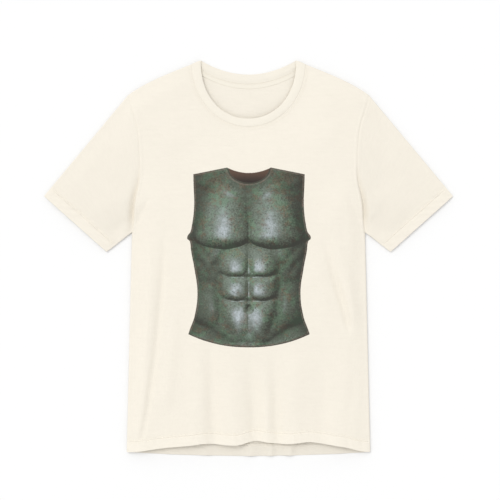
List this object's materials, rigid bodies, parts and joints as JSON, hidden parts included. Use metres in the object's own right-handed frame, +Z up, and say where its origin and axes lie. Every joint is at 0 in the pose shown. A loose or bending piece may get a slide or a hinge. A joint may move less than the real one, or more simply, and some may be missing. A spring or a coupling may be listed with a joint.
{
  "type": "short-sleeved crew-neck t-shirt",
  "caption": "Unisex crew-neck jersey T-shirt lying flat and softly lofted, with short set-in sleeves, a ribbed neckband, turned-up hems and a printed chest.",
  "frame": {"origin": "under the middle of the shirt's bounding box, on the surface that it lies on", "axes": "+Z up out of the surface and out of the shirt's front, +Y towards the neck, +X towards the wearer's left sleeve"},
  "size_m": [0.7374, 0.713, 0.021],
  "materials": {
    "jersey": "matt cream cotton jersey, with a mottled green-grey print on the chest",
    "rib_knit": "matt cream ribbed knit",
    "tape": "matt cream woven tape"
  },
  "bodies": {
    "root": {"front_panel": "jersey", "back_panel": "jersey", "sleeve_left": "jersey", "sleeve_right": "jersey", "neck_rib": "rib_knit", "neck_tape": "tape"}
  },
  "joints": []
}
